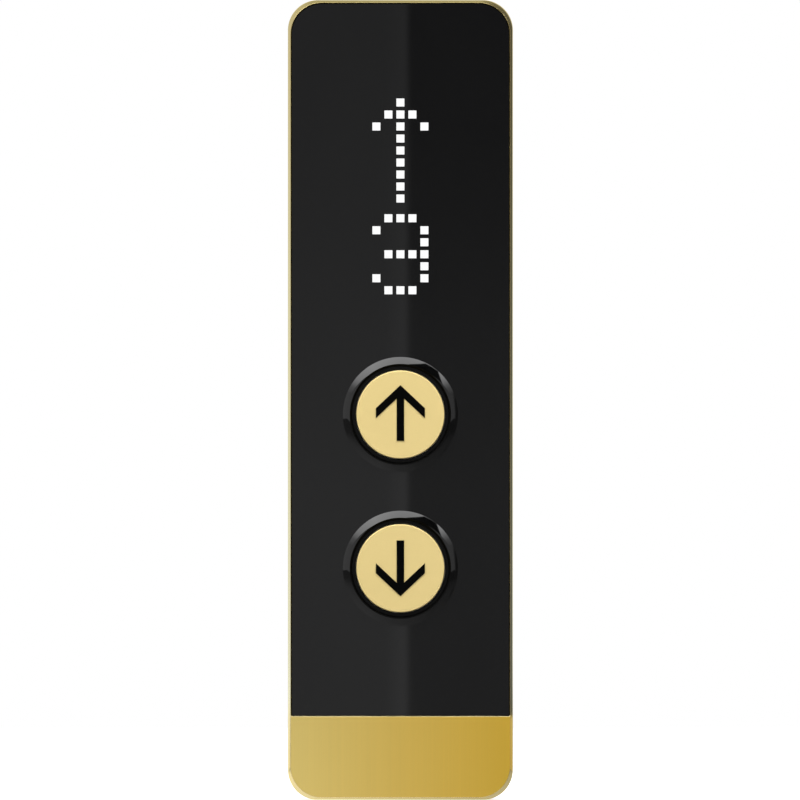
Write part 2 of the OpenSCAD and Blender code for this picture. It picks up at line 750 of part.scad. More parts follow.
module cap(turn, shift) color(pale_gold) difference() {
  rotate_extrude()
    polygon([[0, cap_z], [cap_r - cap_bevel, cap_z], [cap_r, cap_z - cap_bevel], [cap_r, cap_z - cap_depth],
      [cap_r - skirt_t, cap_z - cap_depth], [cap_r - skirt_t, head_z], [0, head_z]]);
  at(0, shift, 0) rotate([0, 0, turn]) arrow_block(cap_z + cut_past);
  thirds(snap_window_angle) snap_block(cap_r + cut_past, snap_h + 2 * fit_gap);
}

module arrow(turn, shift) color(black) at(0, shift, 0)
  rotate([0, 0, turn]) arrow_block(cap_z + arrow_proud);

module plunger() color(nylon) difference() {
  union() {
    rotate_extrude()
      polygon([[0, head_z], [head_r, head_z], [head_r, flange_front_z], [flange_r, flange_front_z],
        [flange_r, flange_back_z], [head_r - plunger_wall, flange_back_z],
        [head_r - plunger_wall, head_z - head_t], [stem_d / 2, head_z - head_t], [stem_d / 2, flange_back_z],
        [0, flange_back_z]]);
    thirds(snap_angle) snap_block(head_r + snap_reach, snap_h);
  }
  at(0, -ring_bore_r, 0) box(key_w + 2 * slide_gap, 2 * (flange_catch + slide_gap) + slide_gap,
    flange_back_z - cut_past, flange_front_z + fit_gap);
}

// A round wire swept along a helix, ring by ring
module spring() {
  rise_z = head_z - head_t - floor_z - wire_d;
  sides = 8;
  rings = 16 * spring_turns;
  points = [for (i = [0:rings], s = [0:sides - 1])
    let (a = 360 * spring_turns * i / rings, b = 360 * s / sides, r = (spring_d + wire_d * cos(b)) / 2)
      [r * cos(a), r * sin(a), floor_z + wire_d / 2 + rise_z * i / rings + wire_d / 2 * sin(b)]];
  sleeve = [for (i = [0:rings - 1], s = [0:sides - 1]) let (t = (s + 1) % sides)
    [i * sides + s, (i + 1) * sides + s, (i + 1) * sides + t, i * sides + t]];
  first = [for (s = [0:sides - 1]) s];
  last = [for (s = [sides - 1:-1:0]) rings * sides + s];
  color(steel) polyhedron(points, concat([first], sleeve, [last]));
}

base_screw_places = [for (sx = [-1, 1]) [sx * base_screw_span / 2, 0]];

// A snap barb on the base's spigot: square behind, sloping in front
module barb_profile() {
  root_r = spigot_r - spigot_wall / 2;
  tip_r = spigot_r + barb_reach;
  heel_z = floor_z + 3 * fit_gap;
  nose_z = floor_z + spigot_h - fit_gap;
  polygon([[root_r, heel_z], [tip_r, heel_z], [tip_r, floor_z + spigot_h / 2], [spigot_r - fit_gap, nose_z],
    [root_r, nose_z]]);
}

module base() color(black) difference() {
  union() {
    rod(2 * barrel_r, button_board_z, floor_z);
    difference() {
      rod(2 * spigot_r, floor_z - fit_gap, floor_z + spigot_h);
      rod(2 * (spigot_r - spigot_wall), floor_z - cut_past, floor_z + spigot_h + cut_past);
    }
    thirds(barb_angle) barb_profile();
    for (p = base_screw_places) at(p[0], p[1], 0) rod(boss_d, button_board_z, floor_z + boss_h);
  }
  box(switch_w + 2 * hole_gap, switch_w + 2 * hole_gap, button_board_z - cut_past, floor_z + cut_past);
  for (k = [0:3]) rotate([0, 0, 45 + 90 * k])
    drill(lamp_ring_r, 0, lamp_d + 2 * hole_gap, button_board_z, floor_z);
  for (p = base_screw_places) at(p[0], p[1], 0)
    rod(base_screw_d + fit_gap, button_board_z - cut_past, floor_z + boss_h / 2);
}

module button_board() color(board_green) difference() {
  rod(button_board_d, button_board_z - board_t, button_board_z);
  for (p = base_screw_places)
    drill(p[0], p[1], base_screw_d + 2 * fit_gap, button_board_z - board_t, button_board_z);
}

module switch() color(black) difference() {
  box(switch_w, switch_w, button_board_z, switch_z);
  rod(pin_d + 2 * slide_gap, switch_z - pin_inside - travel - slide_gap, switch_z + cut_past);
}

module switch_pin() color(nylon) rod(pin_d, switch_z - pin_inside, switch_z + pin_show);

module lamps() color(nylon) for (k = [0:3]) rotate([0, 0, 45 + 90 * k]) at(lamp_ring_r, 0, 0) {
  rod(lamp_d, button_board_z, floor_z);
  at(0, 0, floor_z) intersection() {
    sphere(d = lamp_d);
    box(lamp_d, lamp_d, -fit_gap, lamp_d);
  }
}

module lead_socket(x, y, w, z) color(nylon) at(x, y, 0) difference() {
  box(w, socket_h, z - socket_depth, z);
  box(w - 2 * socket_wall, socket_h - 2 * socket_wall, z - socket_depth - cut_past, z - socket_wall);
}

module base_screws() color(steel) for (p = base_screw_places) at(p[0], p[1], 0)
  pan_screw(base_screw_d, 2 * base_screw_d, 0.7 * base_screw_d, button_board_z - board_t,
    floor_z + boss_h / 3);

module button_socket() lead_socket(0, -button_board_d / 4, socket_w, button_board_z - board_t);

module at_up() stand() at(0, up_y, 0) children();

module at_down() stand() at(0, down_y, 0) children();

// Display

function dot_x(i) = (i - (columns - 1) / 2) * dot_pitch;
function dot_y(top, j) = top - (j + 0.5) * dot_pitch;

// The squares of one module whose mark in the pattern is the one given
module squares(rows, top, mark, z0, z1)
  for (j = [0:len(rows) - 1], i = [0:columns - 1])
    if (rows[j][i] == mark) at(dot_x(i), dot_y(top, j), 0) box(dot_w, dot_w, z0, z1);

module matrix(rows, top) color(gloss_black) stand() difference() {
  at(-module_w / 2, top - len(rows) * dot_pitch, display_board_z)
    cube([module_w, len(rows) * dot_pitch, module_d]);
  for (mark = ["#", "."]) squares(rows, top, mark, module_z - dot_depth, module_z + cut_past);
}

module all_squares(mark) {
  squares(arrow_rows, arrow_top, mark, module_z - dot_depth, module_z);
  squares(digit_rows, digit_top, mark, module_z - dot_depth, module_z);
}

module arrow_matrix() matrix(arrow_rows, arrow_top);

module digit_matrix() matrix(digit_rows, digit_top);

module lit_squares() color("white") stand() all_squares("#");

module unlit_squares() color(smoke) stand() all_squares(".");

post_places = [for (sx = [-1, 1], sy = [-1, 1]) [sx * post_x, display_y + sy * post_y]];

module display_board() color(board_green) stand() difference() {
  at(0, display_y, 0) box(board_w, board_h, board_back_z, display_board_z);
  for (p = post_places) drill(p[0], p[1], small_hole_d, board_back_z, display_board_z);
}

module display_posts() color(steel) stand() for (p = post_places) at(p[0], p[1], 0) difference() {
  rod(post_d, display_board_z, seat_z);
  rod(screw_d + fit_gap, display_board_z - cut_past, seat_z - carrier_t);
}

module display_screws() color(steel) stand()
  small_screws(post_places, board_back_z, seat_z - 2 * carrier_t);

module board_chips() color(black) stand() {
  at(0, display_y + driver_h, 0) box(chip_w, chip_w, board_back_z - chip_t, board_back_z);
  for (sx = [-1, 1])
    at(sx * driver_span / 2, display_y, 0) box(driver_w, driver_h, board_back_z - chip_t, board_back_z);
}

// The two sockets that take the buttons' leads, one above the other beside the sounder
module board_sockets() stand() for (k = [0, 1])
  lead_socket(sounder_d - board_w / 2, terminal_y + terminal_h + socket_h / 2 + k * (socket_h + socket_space),
    socket_w, board_back_z);

module terminal_block() color(board_green) stand() at(0, terminal_y, 0) {
  back = board_back_z - terminal_d;
  mouth = 0.64 * terminal_pitch;
  difference() {
    box(terminal_poles * terminal_pitch, terminal_h, back, board_back_z);
    for (k = [0:terminal_poles - 1]) at((k - (terminal_poles - 1) / 2) * terminal_pitch, 0, 0) {
      at(0, -terminal_h / 2, back + terminal_d / 2) cube(mouth, center = true);
      at(0, terminal_h / 6, back - cut_past) cylinder(d = mouth, h = cut_past + terminal_d / 3);
    }
  }
}

module sounder() color(black) stand()
  at(board_w / 2 - sounder_d, terminal_y + terminal_h + sounder_d / 2, 0) difference() {
    rod(sounder_d, board_back_z - sounder_h, board_back_z);
    rod(sounder_d / 5, board_back_z - sounder_h - cut_past, board_back_z - sounder_h / 2);
  }

casing_frame();
carrier_plate();
carrier_screws();
face_tape();
face_plate();
bottom_trim();
trim_clips();
back_plate();
cable_grommet();
fixing_pillar();
fixing_screw();
at_up() collar();  // up_collar
at_up() ring_nut();  // up_ring_nut
at_up() light_ring();  // up_light_ring
at_up() cap(0, up_arrow_shift);  // up_cap
at_up() arrow(0, up_arrow_shift);  // up_arrow
at_up() plunger();  // up_plunger
at_up() spring();  // up_spring
at_up() base();  // up_base
at_up() button_board();  // up_board
at_up() switch();  // up_switch
at_up() switch_pin();  // up_switch_pin
at_up() lamps();  // up_lamps
at_up() button_socket();  // up_socket
at_up() base_screws();  // up_base_screws
at_down() collar();  // down_collar
at_down() ring_nut();  // down_ring_nut
at_down() light_ring();  // down_light_ring
at_down() cap(180, 0);  // down_cap
at_down() arrow(180, 0);  // down_arrow
at_down() plunger();  // down_plunger
at_down() spring();  // down_spring
at_down() base();  // down_base
at_down() button_board();  // down_board
at_down() switch();  // down_switch
at_down() switch_pin();  // down_switch_pin
at_down() lamps();  // down_lamps
at_down() button_socket();  // down_socket
at_down() base_screws();  // down_base_screws
arrow_matrix();
digit_matrix();
lit_squares();
unlit_squares();
display_board();
display_posts();
display_screws();
board_chips();
board_sockets();
terminal_block();
sounder();
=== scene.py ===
import math

import bmesh
import bpy
import numpy as np
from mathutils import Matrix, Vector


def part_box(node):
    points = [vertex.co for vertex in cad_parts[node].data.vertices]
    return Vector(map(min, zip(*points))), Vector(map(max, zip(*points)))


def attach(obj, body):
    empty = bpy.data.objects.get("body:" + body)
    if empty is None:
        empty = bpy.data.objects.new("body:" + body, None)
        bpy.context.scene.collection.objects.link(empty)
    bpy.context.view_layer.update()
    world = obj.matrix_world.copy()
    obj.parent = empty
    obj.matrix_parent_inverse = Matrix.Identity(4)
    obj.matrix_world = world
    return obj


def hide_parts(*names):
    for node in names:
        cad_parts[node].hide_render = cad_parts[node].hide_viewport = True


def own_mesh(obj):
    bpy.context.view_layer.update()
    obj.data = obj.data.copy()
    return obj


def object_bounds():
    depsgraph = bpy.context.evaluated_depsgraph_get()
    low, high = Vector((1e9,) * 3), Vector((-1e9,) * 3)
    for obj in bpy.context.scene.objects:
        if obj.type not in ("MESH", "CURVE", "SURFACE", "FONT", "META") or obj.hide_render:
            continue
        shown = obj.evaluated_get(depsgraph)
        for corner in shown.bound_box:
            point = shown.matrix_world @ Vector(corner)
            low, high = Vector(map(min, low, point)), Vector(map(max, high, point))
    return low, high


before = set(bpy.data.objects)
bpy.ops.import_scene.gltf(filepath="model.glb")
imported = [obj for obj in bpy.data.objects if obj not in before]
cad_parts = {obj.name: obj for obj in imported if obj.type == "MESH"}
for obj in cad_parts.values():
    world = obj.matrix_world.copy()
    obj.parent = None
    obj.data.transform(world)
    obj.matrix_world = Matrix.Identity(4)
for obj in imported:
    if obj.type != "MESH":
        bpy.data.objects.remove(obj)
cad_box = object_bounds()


# Back plate: a steel sheet, blanked, pressed with two stiffening beads, two hooks and a dish, and
# then zinc plated. Four screws hold it to the wall, and the casing hangs on its hooks.
def add_node(tree, kind, inputs=None, **settings):
    """A new shader node. Each of its inputs, by name or number, is linked where it is given another
    node's output, and set where it is given a value."""
    node = tree.nodes.new("ShaderNode" + kind)
    for name, value in settings.items():
        setattr(node, name, value)
    for key, value in (inputs or {}).items():
        if isinstance(value, bpy.types.NodeSocket):
            tree.links.new(value, node.inputs[key])
        else:
            node.inputs[key].default_value = value
    return node


def new_finish(name, roughness, metallic=0.0):
    """A material of one Principled shader, with one roughness and one share of metal all over."""
    finish = bpy.data.materials.new(name)
    finish.use_nodes = True
    shader = finish.node_tree.nodes["Principled BSDF"]
    shader.inputs["Roughness"].default_value = roughness
    shader.inputs["Metallic"].default_value = metallic
    return finish, shader


def grain(shader, cells, detail=2.0):
    """Noise on Object coordinates with its own number of cells per metre along x, y and z."""
    tree = shader.id_data
    place = add_node(tree, "TexCoord").outputs["Object"]
    stretched = add_node(tree, "Mapping", {"Vector": place, "Scale": cells}).outputs["Vector"]
    noise = add_node(tree, "TexNoise", {"Vector": stretched, "Scale": 1.0, "Detail": detail})
    return noise.outputs["Fac"]


def colour_ramp(tree, value, *stops):
    """A colour that drifts with a value through (position, colour) stops, in rising order."""
    ramp = add_node(tree, "ValToRGB", {"Fac": value})
    elements = ramp.color_ramp.elements
    elements[0].position, elements[1].position = stops[0][0], stops[-1][0]
    for position, colour in stops[1:-1]:
        elements.new(position)
    for element, (position, colour) in zip(elements, stops):
        element.color = (*colour, 1.0)
    return ramp.outputs["Color"]


def spread(tree, value, start, end, low=0.0, high=1.0):
    """A value that runs from low to high while the given one goes from start to end."""
    span = add_node(tree, "MapRange", {
        "Value": value, "From Min": start, "From Max": end, "To Min": low, "To Max": high})
    return span.outputs["Result"]


def colour_by(shader, pattern, low, high):
    """The base colour runs from low to high while the pattern goes from 0.3 to 0.7."""
    tree = shader.id_data
    tree.links.new(colour_ramp(tree, pattern, (0.3, low), (0.7, high)), shader.inputs["Base Color"])


def roughness_by(shader, pattern, low, high):
    """The roughness runs from low to high while the pattern goes from 0.3 to 0.7."""
    tree = shader.id_data
    tree.links.new(spread(tree, pattern, 0.3, 0.7, low, high), shader.inputs["Roughness"])


def relief_by(shader, pattern, height):
    """The surface is tilted as if the pattern were a relief of this height in metres."""
    tree = shader.id_data
    bump = add_node(tree, "Bump", {"Height": pattern, "Distance": height})
    tree.links.new(bump.outputs["Normal"], shader.inputs["Normal"])


def dress(finish, *nodes):
    """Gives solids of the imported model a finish."""
    for node in nodes:
        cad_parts[node].material_slots[0].material = finish


zinc_plate, shader = new_finish("zinc_plate", 0.38, metallic=0.9)
clouds = grain(shader, (45, 45, 25), detail=4.0)
rolled = grain(shader, (1800, 1800, 16))
colour_by(shader, clouds, (0.53, 0.54, 0.565), (0.61, 0.61, 0.62))
roughness_by(shader, rolled, 0.31, 0.43)
relief_by(shader, rolled, 2e-6)
dress(zinc_plate, "back_plate")


# Cable grommet: a black rubber ring moulded with a groove, pushed into the hole in the back
# plate's dish so that its two flanges hold the sheet and the cable can't chafe on it.
MM = 0.001


def soften(corners, radii, steps=6):
    """A closed profile with rounded corners: each corner P becomes the curve
    (1-t)^2 A + 2t(1-t) P + t^2 B, where A and B lie one radius from P on its two sides, or less
    where two corners have to share a short side."""
    corners = np.array(corners, float)
    radius = np.broadcast_to(np.array(radii, float), len(corners))[:, None]
    ends = []
    for turn in (1, -1):
        side = np.roll(corners, turn, 0) - corners
        length = np.linalg.norm(side, axis=1, keepdims=True)
        share = radius / (radius + np.roll(radius, turn, 0) + 1e-9)
        ends.append(corners + side / length * np.minimum(radius, 0.95 * length * share))
    a, b = ends
    t = np.linspace(0, 1, steps)[None, :, None]
    curve = (1 - t) ** 2 * a[:, None] + 2 * t * (1 - t) * corners[:, None] + t * t * b[:, None]
    return curve.reshape(-1, 2)


def turned(profile, x, z, steps=144):
    """A profile of radius r and depth d in millimetres, carried round the axis through (x, z): the
    point at angle a is (x + r sin a, -d, z + r cos a)."""
    a = np.linspace(0, 2 * np.pi, steps, endpoint=False)[None, :]
    r, d = profile[:, :1], profile[:, 1:]
    return MM * np.stack([x + r * np.sin(a), -d + 0 * a, z + r * np.cos(a)], -1)


def ring_faces(points, closed=True):
    """Four-sided faces over a grid whose rows are rings. If closed, the last row joins the first."""
    k = np.arange(points.size // 3).reshape(points.shape[:2])
    beside, after = np.roll(k, -1, 1), np.roll(k, -1, 0)
    quads = np.stack([k, beside, np.roll(beside, -1, 0), after], -1)
    return [(quads if closed else quads[:-1]).reshape(-1, 4)]


def make_piece(name, surfaces, finish, body, slot, *nodes):
    """Joins surfaces, each an array of points with its arrays of faces, into one piece that rides on
    a body and stands for the named solids. Doubles are merged and all faces turned outwards."""
    points = np.concatenate([points.reshape(-1, 3) for points, groups in surfaces])
    faces, start = [], 0
    for part, groups in surfaces:
        for group in groups:
            faces += (group + start).tolist()
        start += part.size // 3
    mesh = bpy.data.meshes.new(name)
    mesh.from_pydata(points.tolist(), [], faces)
    shape = bmesh.new()
    shape.from_mesh(mesh)
    bmesh.ops.remove_doubles(shape, verts=shape.verts, dist=1e-7)
    bmesh.ops.recalc_face_normals(shape, faces=shape.faces)
    shape.to_mesh(mesh)
    shape.free()
    mesh.shade_smooth()
    mesh.set_sharp_from_angle(angle=math.radians(40))
    mesh.materials.append(finish)
    piece = bpy.data.objects.new(name, mesh)
    bpy.context.scene.collection.objects.link(piece)
    even = piece.modifiers.new("even_shading", "WEIGHTED_NORMAL")
    even.keep_sharp = True
    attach(piece, body)
    if nodes:
        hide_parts(*nodes)
    return piece


grommet_rubber, shader = new_finish("grommet_rubber", 0.7)
bloom = grain(shader, (500, 500, 500), detail=4.0)
colour_by(shader, bloom, (0.010, 0.010, 0.010), (0.022, 0.022, 0.021))
roughness_by(shader, bloom, 0.6, 0.8)
relief_by(shader, bloom, 1.5e-5)

low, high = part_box("cable_grommet")
entry_z = (low[2] + high[2]) / 2 / MM
entry_back, entry_front = -high[1] / MM, -low[1] / MM
flange_r, neck_r, entry_r, flange_t = (high[0] - low[0]) / 2 / MM, 9.0, 7.0, 1.5
grommet_rounds = (0.4, 0.6, 0.5, 0.1, 0.1, 0.5, 0.6, 0.4)
grommet = turned(soften([
    (entry_r, entry_back), (flange_r, entry_back), (flange_r, entry_back + flange_t),
    (neck_r, entry_back + flange_t), (neck_r, entry_front - flange_t),
    (flange_r, entry_front - flange_t), (flange_r, entry_front), (entry_r, entry_front)],
    grommet_rounds), 0, entry_z, steps=96)
make_piece("rubber_grommet", [(grommet, ring_faces(grommet))], grommet_rubber, "housing",
           "grommet_rubber", "cable_grommet")


# Fixing pillar and fixing screw: a hexagonal steel pillar riveted into the back plate, and the one
# screw, behind the trim, that pulls the casing's foot to it. Zinc-plated steel.
screw_steel, shader = new_finish("screw_steel", 0.3, metallic=1.0)
lathe_marks = grain(shader, (900, 300, 900), detail=3.0)
colour_by(shader, lathe_marks, (0.50, 0.50, 0.51), (0.66, 0.66, 0.65))
roughness_by(shader, lathe_marks, 0.22, 0.4)
relief_by(shader, lathe_marks, 4e-6)
dress(screw_steel, "fixing_pillar", "fixing_screw")


# Casing frame: an aluminium frame bent from an extruded strip, brushed and gold anodised, with a
# front bevel cut bright after the brushing. The bevel's tint is painted reflection and shade: darker
# gold near the top, palest beside the trim. It carries the ledge and lugs for the carrier plate, and
# hangs by its top rail on the back plate.
def parts_of(tree, vector):
    """The X, Y and Z of a vector."""
    return add_node(tree, "SeparateXYZ", {0: vector}).outputs


def arithmetic(tree, operation, *values):
    """The result of a Math node's operation on values or other nodes' outputs."""
    return add_node(tree, "Math", dict(enumerate(values)), operation=operation).outputs[0]


def mix(tree, share, first, second, data_type="FLOAT", blend_type="MIX"):
    """The first value or colour gives way to the second, or to a blend of both, as the share goes
    from 0 to 1."""
    a, b, result = (2, 3, 0) if data_type == "FLOAT" else (6, 7, 2)
    node = add_node(tree, "Mix", {"Factor": share, a: first, b: second},
                    data_type=data_type, blend_type=blend_type)
    return node.outputs[result]


def cut_bright_with_painted_tint(shader, axis, least, most, roughness, *painted_tints):
    """Faces whose true normal has a part between least and most along an axis are cut bright after
    the brushing: they have one roughness. Their colour is a painted tint that stands in for reflections
    and shade, drifting through (position, colour) stops from the panel's top at 0 to its foot at 1."""
    tree = shader.id_data
    facing = parts_of(tree, add_node(tree, "NewGeometry").outputs["True Normal"])[axis]
    is_cut = arithmetic(tree, "COMPARE", facing, (least + most) / 2, (most - least) / 2)
    z = parts_of(tree, add_node(tree, "TexCoord").outputs["Object"])["Z"]
    painted_tint = colour_ramp(tree, spread(tree, z, cad_box[1][2], cad_box[0][2]), *painted_tints)
    for socket, cut, data_type in (("Roughness", roughness, "FLOAT"), ("Base Color", painted_tint, "RGBA")):
        brushed = shader.inputs[socket].links[0].from_socket
        tree.links.new(mix(tree, is_cut, brushed, cut, data_type), shader.inputs[socket])


def rounded_outline(w, h, r, steps=24):
    """Points round rectangles of width w and height h, one row for each, with corners of radius r:
    x = +-(w/2 - r) + r cos a and z = +-(h/2 - r) + r sin a, a quarter turn for each corner."""
    quarter = np.linspace(0, np.pi / 2, steps)
    a = np.concatenate([quarter + k * np.pi / 2 for k in range(4)])[None, :]
    sx, sz = (np.repeat(signs, steps)[None, :] for signs in ((1, -1, -1, 1), (1, 1, -1, -1)))
    return sx * (w / 2 - r) + r * np.cos(a), sz * (h / 2 - r) + r * np.sin(a)


def capped_faces(points):
    """The faces of a tube over a grid whose rows are rings, with its first and last ring as lids."""
    k = np.arange(points.size // 3).reshape(points.shape[:2])
    return ring_faces(points, False) + [k[[0, -1]]]


gold_anodised, shader = new_finish("gold_anodised", 0.2, metallic=1.0)
brushing = grain(shader, (2600, 2600, 9), detail=3.0)
colour_by(shader, brushing, (0.82, 0.65, 0.26), (0.90, 0.72, 0.30))
roughness_by(shader, brushing, 0.26, 0.40)
relief_by(shader, brushing, 1e-6)
# Painted reflection and shade on the bevel: a darker gold near the top, palest beside the trim's top.
cut_bright_with_painted_tint(shader, "Y", -0.9, -0.4, 0.09, (0.0, (0.70, 0.575, 0.235)), (0.03, (0.67, 0.56, 0.28)),
           (0.5, (0.88, 0.82, 0.51)), (0.87, (0.93, 0.90, 0.64)), (0.9, (0.90, 0.79, 0.45)),
           (0.95, (0.84, 0.70, 0.345)), (1.0, (0.84, 0.70, 0.345)))

low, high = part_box("casing_frame")
casing_w, casing_h = (high[0] - low[0]) / MM, (high[2] - low[2]) / MM
casing_back, casing_front = -high[1] / MM, -low[1] / MM
rim_w, rim_bevel, casing_r, face_r, sliver = 1.08, 1.03, 12.0, 12.54, 0.01
ledge_in, ledge_back, ledge_front = 4.2, 17.2, 18.8
casing_rounds = (0.2, 0.35, 0.02, 0.02, 0.2, 0.2, 0.2, 0.2, 0.2)
section = soften([
    (0, casing_back), (0, casing_front - rim_bevel), (rim_bevel, casing_front), (rim_w, casing_front),
    (rim_w, ledge_front), (ledge_in, ledge_front), (ledge_in, ledge_back), (rim_w, ledge_back),
    (rim_w, casing_back)], casing_rounds, steps=5)
inset, depth = section[:, :1], section[:, 1:]
corner_r = np.where(inset < rim_w, casing_r + (face_r - casing_r) * inset / rim_w, face_r + rim_w - inset)
x, z = rounded_outline(casing_w - 2 * inset, casing_h - 2 * inset, corner_r)
# The rim's width changes in the corners, so the bevel's depth follows it and its slope stays even.
nx, nz = rounded_outline(2.0, 2.0, 1.0)
margin, margin_r = np.array([[0], [2 * rim_w]]), np.array([[casing_r], [face_r]])
(outer_x, inner_x), (outer_z, inner_z) = rounded_outline(casing_w - margin, casing_h - margin, margin_r)
widening = ((outer_x - inner_x) * nx + (outer_z - inner_z) * nz) / rim_w
on_bevel = (inset < rim_w - sliver) & (casing_front - depth < 2 * rim_w)
depth = np.where(on_bevel, casing_front - (casing_front - depth) * widening, depth)
band = MM * np.stack([x, -depth, z], -1)
surfaces = [(band, ring_faces(band))]
lug_r, lug_hole_r, lug_x, lug_pitch, lug_round = 4.0, 1.1, 39.6, 122.0, 0.2
lug_profile = soften([(lug_hole_r, ledge_back), (lug_r, ledge_back), (lug_r, ledge_front),
                      (lug_hole_r, ledge_front)], lug_round, steps=4)
for lug_z in (-lug_pitch, 0, lug_pitch):
    for side in (-1, 1):
        lug = turned(lug_profile, side * lug_x, lug_z, steps=48)
        surfaces.append((lug, ring_faces(lug)))
rail_w, rail_h, rail_back, rail_front = 62.0, 4.4, 2.4, 4.4
rail_edge, rail_r, rail_overlap = 0.25, 0.4, 0.4
rail_z = casing_h / 2 - rim_w - rail_h / 2 + rail_overlap
shrink, depth = np.array([
    (rail_h / 2 - sliver, rail_back), (rail_edge, rail_back), (0, rail_back + rail_edge),
    (0, rail_front - rail_edge), (rail_edge, rail_front), (rail_h / 2 - sliver, rail_front)]).T[:, :, None]
corner_r = np.maximum(rail_r - shrink, sliver / 2)
x, z = rounded_outline(rail_w - 2 * shrink, rail_h - 2 * shrink, corner_r, steps=5)
rail = MM * np.stack([x, -depth + 0 * x, z + rail_z], -1)
surfaces.append((rail, capped_faces(rail)))
make_piece("gold_casing", surfaces, gold_anodised, "housing", "gold_anodised", "casing_frame")


# Carrier plate: the zinc-plated steel sheet behind the face that holds the buttons and the display.
# It lies on the casing's ledge, with six screws from behind through the lugs.
dress(zinc_plate, "carrier_plate")
dress(screw_steel, "carrier_screws")


# Display board: a glass-fibre circuit board with green solder mask, screwed to four turned pillars
# on the back of the carrier plate. The buttons' small boards are made of the same.
circuit_board, shader = new_finish("circuit_board", 0.35)
weave = grain(shader, (1500, 1500, 1500))
tracks = grain(shader, (160, 160, 420), detail=0.0)
colour_by(shader, tracks, (0.006, 0.075, 0.030), (0.012, 0.130, 0.055))
roughness_by(shader, weave, 0.28, 0.42)
relief_by(shader, tracks, 1.5e-5)
dress(circuit_board, "display_board", "up_board", "down_board")
dress(screw_steel, "display_posts", "display_screws")


# Electronics on the boards: chips, switches and sounder in moulded black epoxy, white nylon lead
# sockets and a green screw terminal for the cable, all soldered on.
def moulded(name, low, high, roughness):
    """Moulded plastic: a fine spark-eroded grain, with the colour a little cloudy."""
    finish, shader = new_finish(name, roughness)
    colour_by(shader, grain(shader, (90, 90, 90), detail=4.0), low, high)
    texture = grain(shader, (2200, 2200, 2200))
    roughness_by(shader, texture, roughness - 0.08, roughness + 0.08)
    relief_by(shader, texture, 6e-6)
    return finish


chip = moulded("chip", (0.010, 0.010, 0.011), (0.020, 0.020, 0.022), 0.5)
nylon = moulded("nylon", (0.66, 0.64, 0.57), (0.74, 0.72, 0.65), 0.45)
terminal = moulded("terminal", (0.012, 0.13, 0.035), (0.020, 0.18, 0.050), 0.45)
dress(chip, "board_chips", "sounder", "up_switch", "down_switch")
dress(nylon, "board_sockets", "up_socket", "down_socket")
dress(terminal, "terminal_block")


# Display modules: two moulded black shells with square wells, soldered on the board's front. Each
# well holds a cast diffuser; those of the arrow and the digit are lit.
matrix_shell = moulded("matrix_shell", (0.008, 0.008, 0.008), (0.014, 0.014, 0.014), 0.6)
unlit_square = moulded("unlit_square", (0.05, 0.05, 0.05), (0.07, 0.07, 0.07), 0.4)
dress(matrix_shell, "arrow_matrix", "digit_matrix")
dress(unlit_square, "unlit_squares")
lit_square, shader = new_finish("lit_square", 0.5)
colour_by(shader, grain(shader, (300, 300, 300)), (0.20, 0.20, 0.20), (0.28, 0.28, 0.28))
shader.inputs["Emission Color"].default_value = (1.0, 1.0, 1.0, 1.0)
shader.inputs["Emission Strength"].default_value = 0.72
dress(lit_square, "lit_squares")


# Face plate: 3 mm black cast acrylic, cut with a polished bevel, with two button holes, bonded to
# the carrier plate by a frame of white foam tape.
foam_tape, shader = new_finish("foam_tape", 0.85)
foam = grain(shader, (900, 900, 900), detail=4.0)
colour_by(shader, foam, (0.60, 0.60, 0.57), (0.74, 0.74, 0.71))
relief_by(shader, foam, 3e-5)
dress(foam_tape, "face_tape")
gloss_face, shader = new_finish("gloss_face", 0.015)
haze = grain(shader, (30, 30, 18), detail=5.0)
colour_by(shader, haze, (0.0026, 0.0026, 0.0028), (0.0034, 0.0034, 0.0036))
roughness_by(shader, haze, 0.012, 0.022)
shader.inputs["IOR"].default_value = 1.49
dress(gloss_face, "face_plate")


# Lit windows: the arrow and the digit as they show at the face's front, one small square pane for
# each lit diffuser behind it, set into the acrylic.
pane_w, pane_r, pane_edge, pane_back, pane_front = 3.2, 0.1, 0.05, 23.5, 23.83
signs = {
    "arrow_matrix": ("..#..", ".###.", "#.#.#", "..#..", "..#..", "..#..", "..#..", "..#..", "..#.."),
    "digit_matrix": (".###.", "#...#", "....#", ".####", "....#", "#...#", ".###."),
}
places = []
for node, rows in signs.items():
    low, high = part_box(node)
    row, column = np.nonzero(np.array([list(line) for line in rows]) == "#")
    pitch = (high[0] - low[0]) / MM / len(rows[0])
    x, z = low[0] / MM + (column + 0.5) * pitch, high[2] / MM - (row + 0.5) * pitch
    places.append(np.stack([x, 0 * x, z], -1))
shrink, depth = np.array([
    (0, pane_back), (0, pane_front - pane_edge / 3), (pane_edge, pane_front),
    (pane_w / 2 - sliver, pane_front)]).T[:, :, None]
corner_r = np.maximum(pane_r - shrink, sliver / 2)
x, z = rounded_outline(pane_w - 2 * shrink, pane_w - 2 * shrink, corner_r, steps=4)
panes = MM * (np.stack([x, -depth + 0 * x, z], -1) + np.concatenate(places)[:, None, None])
make_piece("lit_windows", [(pane, capped_faces(pane)) for pane in panes], lit_square, "housing",
           "lit_square")


# Bottom trim: an aluminium bar with bevelled edges, brushed and gold anodised like the casing, its gold
# painted paler to the left as a sheen and its upward bevel painted a paler highlight tint. Its two studs
# snap into nylon clips in the carrier plate, and it hides the fixing screw.
gold_bar, shader = new_finish("gold_bar", 0.42, metallic=1.0)
tree = shader.id_data
x, y, z = parts_of(tree, add_node(tree, "TexCoord").outputs["Object"])
